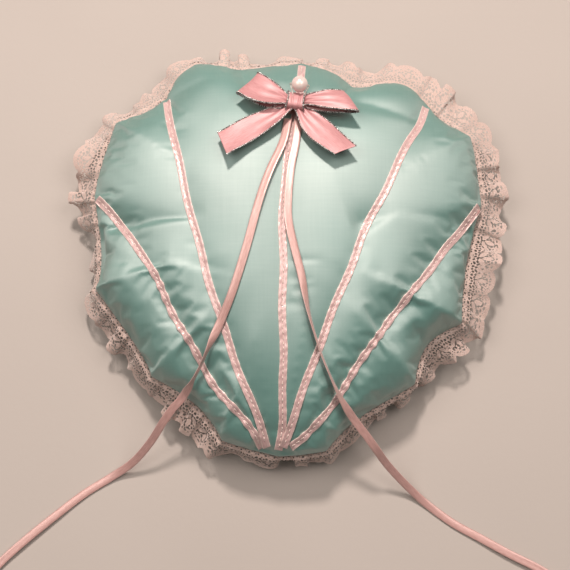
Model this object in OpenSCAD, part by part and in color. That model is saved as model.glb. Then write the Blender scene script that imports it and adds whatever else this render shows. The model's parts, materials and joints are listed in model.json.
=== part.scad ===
// Shell-shaped ring bearer pillow, lying on its back.
// +Z is up out of the front, +Y runs to the scalloped top, and z = 0 is the surface it lies on.

/* [Cushion] */
// Width of the shell across its two outer rib ends
shell_w = 156; // [130:1:190]
// Height of the shell from the hinge point to the top lobes
shell_h = 160; // [130:1:194]
// Height of the edge seam above the back
seam_z = 18; // [15:1:22]
// How far the front swells above the seam
front_rise = 26; // [18:1:32]
// Thickness of the satin panels, with the fill's outer layer that clings to them
panel_t = 1; // [0.8:0.1:1.4]
// Thickness of the seam allowance turned inside
hem_t = 0.6; // [0.4:0.1:0.8]

/* [Lace ruffle] */
// Width of the lace that stands out from the seam
lace_w = 8.5; // [6:0.5:12]
// Thickness of the gathered lace
lace_t = 0.6; // [0.4:0.1:0.8]
// Height of the ruffle's waves, middle to crest
lace_wave = 2; // [1:0.25:3]
// How far the ruffle's free edge droops below the seam
lace_droop = 3; // [2:0.5:4]
// Number of gathers round the edge
gathers = 39; // [26:13:65]

/* [Rib ribbons] */
// Width of each sewn-on rib ribbon
rib_w = 3.2; // [2.5:0.1:4]
// Thickness of a rib ribbon with its puckers
rib_t = 0.5; // [0.4:0.1:0.8]
// Radius of the stitching thread
thread_r = 0.2; // [0.15:0.05:0.25]

/* [Ring ribbons] */
// Width of the long ribbon that holds the rings
ring_ribbon_w = 3.2; // [2.5:0.1:4]
// Thickness allowed for that ribbon
ring_ribbon_t = 0.8; // [0.6:0.1:1]

/* [Bow] */
// Width of the bow's ribbon
bow_ribbon_w = 9.5; // [8:0.5:11]
// Thickness of the bow's ribbon
bow_ribbon_t = 0.4; // [0.3:0.05:0.5]
// Length of the knot along the bow
knot_w = 8; // [6.5:0.5:10]
// Height of the knot across the bow
knot_h = 7; // [6:0.5:8]
// Thickness of the knot
knot_t = 4.6; // [4:0.2:5.4]
// Clear height of the bow above the ribbon tie it covers
bow_gap = 1; // [0.6:0.1:2]
// Radius of the thread shank that carries the bow
shank_r = 0.6; // [0.4:0.1:0.9]
// Running clearance round the shank, in radius
shank_clearance = 0.05; // [0.02:0.01:0.1]

/* [Pearl] */
// Radius of the bead
pearl_r = 3; // [2.5:0.1:4]
// Gap between the bead and the knot it hangs beside
pearl_gap = 0.4; // [0.3:0.1:1]
// Radius of the bead's bore
pearl_bore_r = 0.45; // [0.4:0.05:0.6]
// Running clearance of its thread, in radius
pearl_clearance = 0.05; // [0.02:0.01:0.1]

/* [Hidden] */
$fn = 48;

// Size of the shell on which the marks and routes below are given
drawn_w = 156;
drawn_h = 160;
stretch = [shell_w / drawn_w, shell_h / drawn_h];

// Corners of the edge, clockwise from the left rib end: x, y, bulge of the lobe that follows, place of its peak
corner_marks = [[-78, 23, 1, 0.5], [-70, 54.5, -0.6, 0.5], [-50.5, 64, 1.8, 0.55], [-38, 79, 0.9, 0.4],
                [-19, 76.8, 0.3, 0.5], [5.5, 79.5, 1.8, 0.55], [26, 70.3, 6, 0.6], [57, 61, -0.5, 0.5],
                [74, 48.5, 0.8, 0.4], [78, 20, -2, 0.5], [69, -28, -5.5, 0.5], [50, -52, -2.5, 0.6],
                [15, -78, 0.5, 0.5], [-4, -80, 0.5, 0.5], [-26, -74, -3.5, 0.45],
                [-54, -49, -1.5, 0.3], [-77, -14, -2.5, 0.35]];
lobe_steps = 5;

// Routes of the rib ribbons from the scalloped edge down to the hinge point
rib_routes = [
    [[-76.5, 22], [-68, 12], [-60, 2], [-51, -13], [-42, -30], [-32, -48], [-23, -60], [-14, -71], [-10, -77]],
    [[-49.5, 62.5], [-48, 56], [-46, 48], [-43, 35], [-40, 22], [-33, -5], [-26, -28], [-19, -48], [-11, -68], [-8, -77]],
    [[6, 78], [5, 66], [3, 54], [-1, 28], [-2, 10], [-2, -12], [-2, -34], [-2, -50], [-2, -66], [-4, -78]],
    [[56, 60], [52, 50], [47, 41], [38, 22], [30, 6], [22, -14], [12, -39], [4, -61], [-2, -77]],
    [[76.5, 19], [68, 7], [60, -2], [46, -21], [37, -31], [26, -48], [13, -66], [7, -73], [1, -77]]];
rib_steps = 3;
// Ribs that cross over their neighbours near the hinge point
over_ribs = [1, 3];

// Route of each ring ribbon after the tie: x, y on the front, then x, y, z off the edge and along the floor
ring_left_route = [[-2, 40], [-7, 28], [-11, 16], [-16, -3], [-21, -19], [-26, -31], [-32, -44],
                   [-36, -51], [-41, -58, 22], [-45, -62, 21], [-50, -67, 18], [-57, -75, 8], [-64, -82, 2],
                   [-73, -88, 1], [-82, -94, 1], [-93, -103, 1], [-104, -112, 1], [-114, -121, 1],
                   [-122, -130, 1], [-131, -138, 1]];
ring_right_route = [[3, 40], [1, 29], [0, 18], [0, 9], [2, -1], [5, -13], [8, -28], [12, -41],
                    [16, -51], [20, -59], [25, -66], [30, -72, 21], [34, -77, 18], [39, -83, 8],
                    [46, -90, 2], [55, -98, 1], [66, -106, 1], [77, -112, 1], [88, -118, 1], [100, -124, 1],
                    [115, -133, 1]];
ring_steps = 2;

// Place of the bow's knot on the front
bow_place = [3 * stretch.x, 54 * stretch.y];
// Turn of the knot in the bow's plane
knot_turn = -8;
// Each loop in the bow's plane: start at the knot, middle of the far fold, half of the fold's line
loop_left = [[-3, 0.5], [-19, 9.5], [3.8, 4]];
loop_right = [[3.5, 0.3], [21, 1], [-2.6, 4.9]];
// Each tail in the bow's plane: start, bend, end, half of the cut end's line
tail_left = [[-2.5, -1.5], [-14, -7], [-28, -16], [-1.8, 4.8]];
tail_right = [[1.5, -2.5], [9, -10], [18.5, -19.5], [4.2, 1.6]];
// How far the bead hangs to the right of the knot's middle, and the way it leans off the knot's upper edge
pearl_shift = 0.7;
pearl_lean = 42;

satin = "#a9dccb";
ribbon_pink = "#eec3bf";
lace_ivory = "#ece2cc";
thread_white = "#e6ddd2";
pearl_white = "#f2ece2";

shares = [0, 0.2, 0.4, 0.55, 0.7, 0.8, 0.88, 0.94, 0.98, 1];
inner_shares = [0.97, 0.88, 0.7, 0.4, 0];
hem_share = 0.93;
fill_share = 0.92;
// The hem's fold stops short of the panel's own curve
fold_share = 0.985;
gather_share = 0.945;
seam_share = 0.97;
// Half of the gap that the seam leaves between the panels for the lace
half_gap = lace_t / 2 + 0.2;
// The back would swell this far but for the surface it lies on
back_drop = seam_z * 1.25;

// ---- The shell's outline ----

function cross_of(a, b) = a.x * b.y - a.y * b.x;
function stretched(p) = [p.x * stretch.x, p.y * stretch.y];
function lobe_point(a, b, bulge, peak, t) =
    let (run = b - a, out = [-run.y, run.x] / norm(run))
    a + run * t + out * bulge * sin(180 * pow(t, ln(0.5) / ln(peak)));
edge = [for (k = [0 : len(corner_marks) - 1]) for (s = [0 : lobe_steps - 1])
    let (a = corner_marks[k], b = corner_marks[(k + 1) % len(corner_marks)])
    stretched(lobe_point([a.x, a.y], [b.x, b.y], a[2], a[3], s / lobe_steps))];
around = len(edge);

// A point on the edge, where u counts the edge's points
function edge_at(u) =
    let (a = floor(u), t = u - a)
    edge[a % around] * (1 - t) + edge[(a + 1) % around] * t;

// How far a point lies from the middle, as a share of the way to the edge
function share_past(p, a, b) =
    let (whole = cross_of(a, b), fa = cross_of(p, b) / whole, fb = cross_of(a, p) / whole)
    (fa >= -0.001 && fb >= -0.001) ? fa + fb : 0;
function edge_share(p) = max([for (i = [0 : around - 1]) share_past(p, edge[i], edge[(i + 1) % around])]);

// ---- Height of the two faces ----

function swell(share) = pow(1 - pow(share, 2.4), 0.65);
function front_height(share) = seam_z + half_gap + panel_t + front_rise * swell(share);
function back_height(share) = max(0, seam_z - half_gap - panel_t - back_drop * swell(share));
front_table = [for (s = shares) [s, front_height(s)]];
function front_z(p) = lookup(edge_share(p), front_table);

// ---- Solids through rows of points ----

function spline(a, b, c, d, t) =
    0.5 * (2 * b + (c - a) * t + (2 * a - 5 * b + 4 * c - d) * t * t + (3 * b - a - 3 * c + d) * t * t * t);
function smooth(route, steps) =
    let (last = len(route) - 1)
    [for (i = [0 : last - 1]) for (s = [0 : steps - 1])
        spline(route[max(i - 1, 0)], route[i], route[i + 1], route[min(i + 2, last)], s / steps),
     route[last]];
function unit(v) = v / norm(v);
function heading(path, i) = unit(path[min(i + 1, len(path) - 1)] - path[max(i - 1, 0)]);

// Each section's first half is its upper side. The lower side's diagonals match the upper side's.
function quads(rows, per_row, wrap) = [for (i = [0 : rows - (wrap ? 1 : 2)]) for (j = [0 : per_row - 1])
    let (next = (i + 1) % rows, k = (j + 1) % per_row,
         a = i * per_row + j, b = i * per_row + k, c = next * per_row + k, d = next * per_row + j)
    each j < per_row / 2 ? [[a, b, c], [a, c, d]] : [[a, b, d], [b, c, d]]];

// An open run of sections, closed at both ends
module loft(sections) {
    rows = len(sections);
    per_row = len(sections[0]);
    first = [for (j = [per_row - 1 : -1 : 0]) j];
    last = [for (j = [0 : per_row - 1]) (rows - 1) * per_row + j];
    polyhedron([for (s = sections) each s], concat(quads(rows, per_row, false), [first, last]));
}

// A closed ring of sections
module ring_loft(sections) {
    polyhedron([for (s = sections) each s], quads(len(sections), len(sections[0]), true));
}

// A profile of share and height carried round the shell's outline, from its top middle to its bottom middle
module carried_round(profile) {
    rows = len(profile) - 2;
    last = rows * around + 1;
    points = concat([[0, 0, profile[0][1]]],
                    [for (r = [1 : rows]) for (e = edge) [e.x * profile[r][0], e.y * profile[r][0], profile[r][1]]],
                    [[0, 0, profile[rows + 1][1]]]);
    top = [for (k = [0 : around - 1]) [0, 1 + k, 1 + (k + 1) % around]];
    sides = [for (r = [0 : rows - 2]) for (k = [0 : around - 1])
        let (n = (k + 1) % around, a = 1 + r * around + k, b = a + around,
             c = 1 + (r + 1) * around + n, d = 1 + r * around + n)
        each [[a, b, c], [a, c, d]]];
    bottom = [for (k = [0 : around - 1])
        [last, 1 + (rows - 1) * around + (k + 1) % around, 1 + (rows - 1) * around + k]];
    polyhedron(points, concat(top, sides, bottom));
}

// A four-sided thread along a route
function thread_section(path, i, r) =
    let (t = heading(path, i), side = unit(cross(t, [0, 0, 1])), up = cross(side, t))
    [path[i] - side * r, path[i] + up * r, path[i] + side * r, path[i] - up * r];
module thread_run(path, r) {
    loft([for (i = [0 : len(path) - 1]) thread_section(path, i, r)]);
}

// A rod between two points
module rod(a, b, r) {
    run = b - a;
    translate(a)
        rotate([0, acos(run.z / norm(run)), atan2(run.y, run.x)])
            cylinder(h = norm(run), r = r);
}

// ---- Cushion ----

module front_panel() {
    hem_top = seam_z + half_gap + hem_t;
    outside = [for (s = shares) [s, front_height(s)]];
    hem = [[1, seam_z + half_gap], [hem_share, seam_z + half_gap], [hem_share, hem_top], [fold_share, hem_top]];
    inside = [for (s = inner_shares) [s, lookup(s, front_table) - panel_t]];
    color(satin) carried_round(concat(outside, hem, inside));
}

module back_panel() {
    hem_low = seam_z - half_gap - hem_t;
    inside = [for (i = [len(inner_shares) - 1 : -1 : 0]) [inner_shares[i], back_height(inner_shares[i]) + panel_t]];
    hem = [[fold_share, hem_low], [hem_share, hem_low], [hem_share, seam_z - half_gap], [1, seam_z - half_gap]];
    outside = [for (i = [len(shares) - 1 : -1 : 0]) [shares[i], back_height(shares[i])]];
    color(satin) carried_round(concat(inside, hem, outside));
}

module fibre_filling() {
    levels = [0, 0.4, 0.7, 0.88, fill_share];
    top = [for (s = levels) [s, front_height(s) - panel_t - 1]];
    low = [for (i = [len(levels) - 1 : -1 : 0]) [levels[i], back_height(levels[i]) + panel_t + 1]];
    color("white") carried_round(concat(top, low));
}

// ---- Lace ruffle, with its gathering thread ----

lace_steps = 3 * around;
function lace_section(k) =
    let (e = edge_at(k / 3), out = unit(e), turn = 360 * gathers * k / lace_steps,
         reach = lace_w * (0.94 + 0.06 * cos(turn / 3)), tip = e + out * reach,
         tip_z = seam_z - lace_droop + lace_wave * sin(turn), half = lace_t / 2)
    [[e.x * hem_share, e.y * hem_share, seam_z + half], [e.x, e.y, seam_z + half], [tip.x, tip.y, tip_z + half],
     [tip.x, tip.y, tip_z - half], [e.x, e.y, seam_z - half], [e.x * hem_share, e.y * hem_share, seam_z - half]];
module lace_ruffle() {
    color(lace_ivory) ring_loft([for (k = [0 : lace_steps - 1]) lace_section(k)]);
}

// A running stitch round the edge: place from the middle, swing up and down
function stitch_ring(share, swing) = [for (k = [0 : 2 * around - 1])
    let (e = edge_at(k / 2) * share) [e.x, e.y, seam_z + swing * (k % 2 == 0 ? 1 : -1)]];
function ring_thread_section(path, i, r) =
    let (n = len(path), t = unit(path[(i + 1) % n] - path[(i + n - 1) % n]),
         side = unit(cross(t, [0, 0, 1])), up = cross(side, t))
    [path[i] - side * r, path[i] + up * r, path[i] + side * r, path[i] - up * r];
module stitched_ring(share, swing, r) {
    path = stitch_ring(share, swing);
    ring_loft([for (i = [0 : len(path) - 1]) ring_thread_section(path, i, r)]);
}

module lace_gathering_thread() {
    color(thread_white) stitched_ring(gather_share, half_gap - thread_r - 0.1, thread_r);
}
module seam_stitching() {
    color(satin) stitched_ring(seam_share, half_gap + hem_t, thread_r);
}

// Ladder stitches along the last stretch of the back seam, near the right of the hinge point
closing_from = 56;
closing_to = 62;
closing_path = [for (k = [0 : 4 * (closing_to - closing_from)])
    let (e = edge_at(closing_from + k / 4), inset = e * 0.995)
    [inset.x, inset.y, seam_z - half_gap - (k % 2 == 0 ? 0.2 : panel_t + 0.4)]];
module closing_stitches() {
    color(satin) thread_run(closing_path, thread_r);
}

// ---- Rib ribbons and their stitching ----

// Extra height where one rib crosses over the next, by height on the shell
function rib_lift(index, p) =
    len(search(index, over_ribs)) == 0 ? 0 : lookup(-p.y / stretch.y, [[55, 0], [66, rib_t + 0.3]]);
function rib_path(index) = [for (p = smooth(rib_routes[index], rib_steps)) stretched(p)];
rib_sink = 0.1;
function rib_section(path, i, index) =
    let (p = path[i], t = heading(path, i), side = [-t.y, t.x] * rib_w / 2, left = p + side, right = p - side,
         low_left = front_z(left) + rib_lift(index, p) - rib_sink,
         low_right = front_z(right) + rib_lift(index, p) - rib_sink)
    [[left.x, left.y, low_left + rib_t], [right.x, right.y, low_right + rib_t],
     [right.x, right.y, low_right], [left.x, left.y, low_left]];
module rib_ribbon(index) {
    path = rib_path(index);
    color(ribbon_pink) loft([for (i = [0 : len(path) - 1]) rib_section(path, i, index)]);
}

// The stitch runs over and under the ribbon along its middle
function stitch_path(index) =
    let (path = smooth(rib_path(index), 2))
    [for (i = [1 : len(path) - 2]) let (p = path[i])
        [p.x, p.y, front_z(p) + rib_lift(index, p) - rib_sink + (i % 2 == 0 ? rib_t + thread_r / 2 : rib_t / 2)]];
module rib_stitching(index) {
    color(thread_white) thread_run(stitch_path(index), thread_r);
}

// ---- Ring ribbon: its two tails and its folded middle ----

// Clear of the rib ribbons and their stitches where it crosses them
ring_lift = rib_t + thread_r + ring_ribbon_t / 2 + 0.5;
function laid(p) = len(p) == 3 ? p : [p.x, p.y, front_z(p) + ring_lift];
function on_shell(p) = len(p) == 3 ? [p.x * stretch.x, p.y * stretch.y, p.z] : stretched(p);
function ribbon_section(path, i) =
    let (t = heading(path, i), side = unit(cross(t, [0, 0, 1])) * ring_ribbon_w / 2,
         up = unit(cross(side, t)) * ring_ribbon_t / 2, p = path[i])
    [for (j = [0 : 7]) let (turn = 157.5 - 45 * j)
        p + (side * cos(turn) + up * sin(turn)) / cos(22.5)];
module ring_ribbon(exit, route) {
    marks = concat([exit], [for (p = route) on_shell(p)]);
    path = smooth([for (p = marks) laid(p)], ring_steps);
    color(ribbon_pink) loft([for (i = [0 : len(path) - 1]) ribbon_section(path, i)]);
}
module ring_ribbon_left() {
    ring_ribbon(bow_place + [-3, -4], ring_left_route);
}
module ring_ribbon_right() {
    ring_ribbon(bow_place + [1, -4], ring_right_route);
}

// ---- Bow, set square to the slope of the front where it is sewn ----

bow_slope = (front_z(bow_place + [0, 3]) - front_z(bow_place - [0, 3])) / 6;
bow_tilt = atan(bow_slope);
bow_base = [bow_place.x, bow_place.y, front_z(bow_place)];
module at_bow(height) {
    translate(bow_base) rotate([bow_tilt, 0, 0]) translate([0, 0, height]) children();
}

// A flat plate with round corners, made of true flats and arcs
module rounded_plate(size, corner) {
    square([size.x - 2 * corner, size.y], center = true);
    square([size.x, size.y - 2 * corner], center = true);
    for (x = [-1, 1], y = [-1, 1])
        translate([x * (size.x / 2 - corner), y * (size.y / 2 - corner)]) circle(r = corner);
}

tie_low = rib_t + thread_r + 0.3;
tie_t = 1.2;
bow_height = tie_low + tie_t + bow_gap;
module ring_ribbon_knot() {
    color(ribbon_pink)
        at_bow(tie_low)
            linear_extrude(tie_t)
                rounded_plate([8, 6], 1.5);
}

module bow_tack_thread() {
    color(thread_white)
        at_bow(-2)
            cylinder(h = 2 + bow_height + knot_t / 2, r = shank_r);
}

knot_corner = 1.5;
module bow_knot() {
    bore_deep = knot_t / 2 + 0.3;
    color(ribbon_pink)
        at_bow(bow_height)
            rotate([0, 0, knot_turn])
                difference() {
                    translate([-knot_w / 2, 0, knot_t / 2])
                        rotate([90, 0, 90])
                            linear_extrude(knot_w)
                                rounded_plate([knot_h, knot_t], knot_corner);
                    translate([0, 0, -1]) cylinder(h = 1 + bore_deep, r = shank_r + shank_clearance);
                }
}

// A flat ribbon through centre points, with the half-width vector at each
function strip_section(path, halves, i) =
    let (t = heading(path, i), h = halves[i], n = unit(cross(h, t)) * bow_ribbon_t / 2, p = path[i])
    [p + h + n, p - h + n, p - h - n, p + h - n];
module strip(path, halves) {
    loft([for (i = [0 : len(path) - 1]) strip_section(path, halves, i)]);
}

// Out along the top, round the fold and back below: share of the way out, height
loop_profile = [[0, 2.9], [0.12, 3.6], [0.3, 4.7], [0.5, 5.2], [0.7, 5.1], [0.86, 4.6], [0.96, 3.8], [1, 2.9],
                [0.97, 2.1], [0.88, 1.5], [0.7, 1.2], [0.5, 1.1], [0.3, 1.2], [0.12, 1.5], [0, 1.8]];
gathered_half = 2.4;
module bow_loop(marks) {
    start = marks[0];
    run = marks[1] - start;
    across = unit([-run.y, run.x]);
    fold = unit(marks[2]) * bow_ribbon_w / 2;
    facing = fold * across > 0 ? 1 : -1;
    path = [for (s = loop_profile) let (p = start + run * s[0]) [p.x, p.y, s[1]]];
    halves = [for (s = loop_profile)
        let (open = min(1, s[0] * 1.5), h = across * facing * gathered_half * (1 - open) + fold * open)
        [h.x, h.y, 0]];
    color(ribbon_pink) at_bow(bow_height) strip(path, halves);
}
module bow_loop_left() {
    bow_loop(loop_left);
}
module bow_loop_right() {
    bow_loop(loop_right);
}

tail_heights = [1.1, 0.5, 0.3, 0.3];
module bow_tail(marks) {
    flat = smooth([marks[0], marks[1], marks[2]], 4);
    last = len(flat) - 1;
    cut = marks[3];
    path = [for (i = [0 : last]) [flat[i].x, flat[i].y, lookup(i / last * 3, [for (k = [0 : 3]) [k, tail_heights[k]]])]];
    halves = [for (i = [0 : last])
        let (t = heading(flat, i), across = [-t.y, t.x], facing = across * cut > 0 ? 1 : -1, open = i / last,
             plain = across * facing * (gathered_half * (1 - open) + bow_ribbon_w / 2 * open),
             h = plain * (1 - open) + unit(cut) * bow_ribbon_w / 2 * open)
        [h.x, h.y, 0]];
    color(ribbon_pink) at_bow(bow_height) strip(path, halves);
}
module bow_tail_left() {
    bow_tail(tail_left);
}
module bow_tail_right() {
    bow_tail(tail_right);
}

// ---- Pearl, free to turn on its thread ----

// Bead's centre, measured along and across the knot from the middle of its underside
pearl_reach = knot_corner + pearl_gap + pearl_r;
pearl_centre = [pearl_shift, knot_h / 2 - knot_corner + pearl_reach * cos(pearl_lean),
                knot_t - knot_corner + pearl_reach * sin(pearl_lean)];
module at_pearl() {
    at_bow(bow_height) rotate([0, 0, knot_turn]) translate(pearl_centre) children();
}
module pearl_bead() {
    color(pearl_white)
        at_pearl()
            rotate([0, 90, 0])
                rotate_extrude()
                    difference() {
                        circle(r = pearl_r);
                        translate([pearl_bore_r - 2 * pearl_r, -pearl_r]) square(2 * pearl_r);
                    }
}
module pearl_thread() {
    reach = pearl_r + 1.3;
    sewn_y = knot_h / 2 - knot_corner;
    sewn_z = knot_t - 1.8;
    color(thread_white)
        at_pearl() {
            rod([-reach - 0.3, 0, 0], [reach + 0.3, 0, 0], pearl_bore_r - pearl_clearance);
            rod([-reach, 0, 0.2], [-knot_w / 4, sewn_y, sewn_z] - pearl_centre, pearl_bore_r);
            rod([reach, 0, 0.2], [knot_w / 2.4, sewn_y, sewn_z] - pearl_centre, pearl_bore_r);
        }
}

front_panel();
back_panel();
fibre_filling();
lace_ruffle();
lace_gathering_thread();
seam_stitching();
closing_stitches();
rib_ribbon(0);  // rib_ribbon_outer_left
rib_ribbon(1);  // rib_ribbon_inner_left
rib_ribbon(2);  // rib_ribbon_centre
rib_ribbon(3);  // rib_ribbon_inner_right
rib_ribbon(4);  // rib_ribbon_outer_right
rib_stitching(0);  // rib_stitching_outer_left
rib_stitching(1);  // rib_stitching_inner_left
rib_stitching(2);  // rib_stitching_centre
rib_stitching(3);  // rib_stitching_inner_right
rib_stitching(4);  // rib_stitching_outer_right
ring_ribbon_left();
ring_ribbon_right();
ring_ribbon_knot();
bow_tack_thread();
bow_knot();
bow_loop_left();
bow_loop_right();
bow_tail_left();
bow_tail_right();
pearl_thread();
pearl_bead();
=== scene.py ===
import json
import math

import bpy
import numpy as np
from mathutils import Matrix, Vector, geometry
from mathutils.bvhtree import BVHTree


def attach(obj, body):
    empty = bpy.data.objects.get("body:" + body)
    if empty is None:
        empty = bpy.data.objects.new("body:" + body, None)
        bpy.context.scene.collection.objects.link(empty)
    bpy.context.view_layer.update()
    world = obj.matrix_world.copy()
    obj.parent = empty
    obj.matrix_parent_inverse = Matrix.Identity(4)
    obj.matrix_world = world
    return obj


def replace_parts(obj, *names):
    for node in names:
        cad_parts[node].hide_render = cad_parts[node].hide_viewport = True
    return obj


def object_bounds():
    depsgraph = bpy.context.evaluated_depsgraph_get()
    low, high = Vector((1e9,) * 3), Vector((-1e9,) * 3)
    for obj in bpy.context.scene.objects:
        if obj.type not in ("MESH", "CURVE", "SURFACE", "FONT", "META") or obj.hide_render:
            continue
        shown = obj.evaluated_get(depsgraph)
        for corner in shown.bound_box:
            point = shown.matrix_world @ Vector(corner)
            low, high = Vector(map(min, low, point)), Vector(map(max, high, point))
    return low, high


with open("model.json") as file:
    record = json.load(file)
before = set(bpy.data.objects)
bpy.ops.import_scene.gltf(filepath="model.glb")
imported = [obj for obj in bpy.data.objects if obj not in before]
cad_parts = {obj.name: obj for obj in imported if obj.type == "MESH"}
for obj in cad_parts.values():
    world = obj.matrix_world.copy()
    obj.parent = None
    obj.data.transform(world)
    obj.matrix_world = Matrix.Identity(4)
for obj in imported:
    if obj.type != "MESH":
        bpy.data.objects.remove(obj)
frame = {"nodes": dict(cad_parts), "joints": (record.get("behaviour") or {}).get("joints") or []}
cad_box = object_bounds()
scene = bpy.context.scene


# ---------------------------------------------------------------------------------------------
# Table top under the pillow: pale matt painted board, a plain surface for a soft object to lie on.
# It is one large sheet with a fine roller stipple.

def linear(hex_colour):
    """An sRGB hex colour as the linear values that a shader takes."""
    parts = [int(hex_colour[i:i + 2], 16) / 255 for i in (1, 3, 5)]
    return [*(c / 12.92 if c <= 0.04045 else ((c + 0.055) / 1.055) ** 2.4 for c in parts), 1]


def add(tree, kind, inputs=None, **settings):
    """Adds a node with its settings. Each input is a value, or another node's output to link."""
    made = tree.nodes.new("ShaderNode" + kind)
    for name, value in settings.items():
        setattr(made, name, value)
    for name, value in (inputs or {}).items():
        if isinstance(value, bpy.types.NodeSocket):
            tree.links.new(value, made.inputs[name])
        else:
            made.inputs[name].default_value = value
    return made


def new_material(name, **sockets):
    """A new material with its surface shader's constant sockets set."""
    made = bpy.data.materials.new(name)
    made.use_nodes = True
    shader = made.node_tree.nodes["Principled BSDF"]
    for socket, value in sockets.items():
        shader.inputs[socket.replace("_", " ")].default_value = value
    return made, made.node_tree, shader


def noise(tree, place, scale, detail=2.0, distortion=0.0):
    """Cloudy noise from 0 to 1 at a place."""
    return add(tree, "TexNoise", {"Vector": place, "Scale": scale, "Detail": detail,
                                  "Distortion": distortion}).outputs["Fac"]


def ranged(tree, value, low, high, to_low=0.0, to_high=1.0):
    """A value spread from one range to another, and held at its ends."""
    return add(tree, "MapRange", {"Value": value, "From Min": low, "From Max": high,
                                  "To Min": to_low, "To Max": to_high}).outputs["Result"]


def mixed(tree, share, low, high):
    """A colour between two others. Each is a hex colour or another node's output."""
    low, high = (linear(colour) if isinstance(colour, str) else colour for colour in (low, high))
    return add(tree, "Mix", {0: share, 6: low, 7: high}, data_type="RGBA").outputs[2]


def finish_surface(tree, shader, colour, relief, strength, depth):
    """Gives a shader its colour and its relief, with the depth of the relief in metres."""
    bump = add(tree, "Bump", {"Height": relief, "Strength": strength, "Distance": depth})
    tree.links.new(colour, shader.inputs["Base Color"])
    tree.links.new(bump.outputs["Normal"], shader.inputs["Normal"])


def mesh_object(name, points, faces, material, smooth=True, uv=None):
    """A mesh from points in metres. uv is each point's place along and across the cloth, in millimetres."""
    mesh = bpy.data.meshes.new(name)
    mesh.from_pydata([tuple(p) for p in points], [], [tuple(int(i) for i in f) for f in faces])
    mesh.validate()
    if uv is not None:
        corners = np.empty(len(mesh.loops), int)
        mesh.loops.foreach_get("vertex_index", corners)
        layer = mesh.uv_layers.new(name="cloth_mm")
        layer.data.foreach_set("uv", np.asarray(uv, np.float32)[corners].ravel())
    mesh.polygons.foreach_set("use_smooth", [smooth] * len(mesh.polygons))
    mesh.materials.append(material)
    made = bpy.data.objects.new(name, mesh)
    scene.collection.objects.link(made)
    return made


board_paint, tree, shader = new_material("matt_painted_board", Roughness=0.85)
place = add(tree, "TexCoord").outputs["Object"]
mottled = mixed(tree, noise(tree, place, 9.0), "#b0a8a2", "#b9b1ab")
finish_surface(tree, shader, mottled, noise(tree, place, 400.0, 3.0), 0.15, 0.0003)
reach = 3.0
board_corners = [(-reach, -reach, 0), (reach, -reach, 0), (reach, reach, 0), (-reach, reach, 0)]
table_top = mesh_object("table_top", board_corners, [(0, 1, 2, 3)], board_paint, smooth=False)
table_top.location.z = min(0.0, cad_box[0][2]) - 0.0001

# ---------------------------------------------------------------------------------------------
# Light and camera: a warm lamp well above the scalloped end, with soft fill from the sides.
# The camera looks almost straight down on the front.

look_at = Vector((-0.0012, -0.0122, 0.018))
lens_at = Vector((-0.0012, -0.0990, 0.5104))
camera_data = bpy.data.cameras.new("view")
camera_data.lens = 78.95
camera_data.sensor_width = 36
camera_data.clip_start = 0.01
camera = bpy.data.objects.new("view", camera_data)
camera.location = lens_at
camera.rotation_euler = (look_at - lens_at).to_track_quat("-Z", "Y").to_euler()
scene.collection.objects.link(camera)
scene.camera = camera


def lamp(name, at, size, power, colour):
    """A round soft lamp that shines on the pillow."""
    data = bpy.data.lights.new(name, "AREA")
    data.shape = "DISK"
    data.size = size
    data.energy = power
    data.color = linear(colour)[:3]
    made = bpy.data.objects.new(name, data)
    made.location = at
    made.rotation_euler = (look_at - Vector(at)).to_track_quat("-Z", "Y").to_euler()
    scene.collection.objects.link(made)


lamp("key_lamp", (-0.05, 0.66, 0.90), 0.13, 10.5, "#fff1e8")
lamp("fill_left", (-0.50, 0.14, 1.00), 0.7, 5.3, "#fff4ec")
lamp("fill_right", (0.50, 0.18, 1.00), 0.7, 5.1, "#fff4ec")
sky = bpy.data.worlds.new("studio")
sky.use_nodes = True
sky.node_tree.nodes["Background"].inputs["Color"].default_value = linear("#fff4ea")
sky.node_tree.nodes["Background"].inputs["Strength"].default_value = 0.07
scene.world = sky
scene.view_settings.view_transform = "Standard"

# ---------------------------------------------------------------------------------------------
# Cushion body: two polyester satin panels cut to one scallop-shell outline, sewn together inside out,
# turned and stuffed tight with polyester fibre. The woven face has long floats, so light runs off it
# in broad milky bands, and the cloth puckers along the seam and where the ribbons are sewn to it.

seam_height = 18.0
front_swell = 26.0
# Corners of the outline, clockwise from the left rib end: x, y, bulge of the lobe that follows, its peak
shell_marks = [(-78, 23, 1, 0.5), (-70, 54.5, -0.6, 0.5), (-50.5, 64, 1.8, 0.55), (-38, 79, 0.9, 0.4),
               (-19, 76.8, 0.3, 0.5), (5.5, 79.5, 1.8, 0.55), (26, 70.3, 6, 0.6), (57, 61, -0.5, 0.5),
               (74, 48.5, 0.8, 0.4), (78, 20, -2, 0.5), (69, -28, -5.5, 0.5), (50, -52, -2.5, 0.6),
               (15, -78, 0.5, 0.5), (-4, -80, 0.5, 0.5), (-26, -74, -3.5, 0.45),
               (-54, -49, -1.5, 0.3), (-77, -14, -2.5, 0.35)]
outline = []
for mark, following in zip(shell_marks, shell_marks[1:] + shell_marks[:1]):
    start, run = np.array(mark[:2], float), np.array(following[:2], float) - np.array(mark[:2], float)
    square_to_run = np.array([-run[1], run[0]]) / np.hypot(*run)
    steps = max(6, round(np.hypot(*run) / 1.6))
    for share in np.arange(steps) / steps:
        lift = mark[2] * math.sin(math.pi * share ** (math.log(0.5) / math.log(mark[3])))
        outline.append(start + run * share + square_to_run * lift)
outline = np.array(outline)


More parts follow.
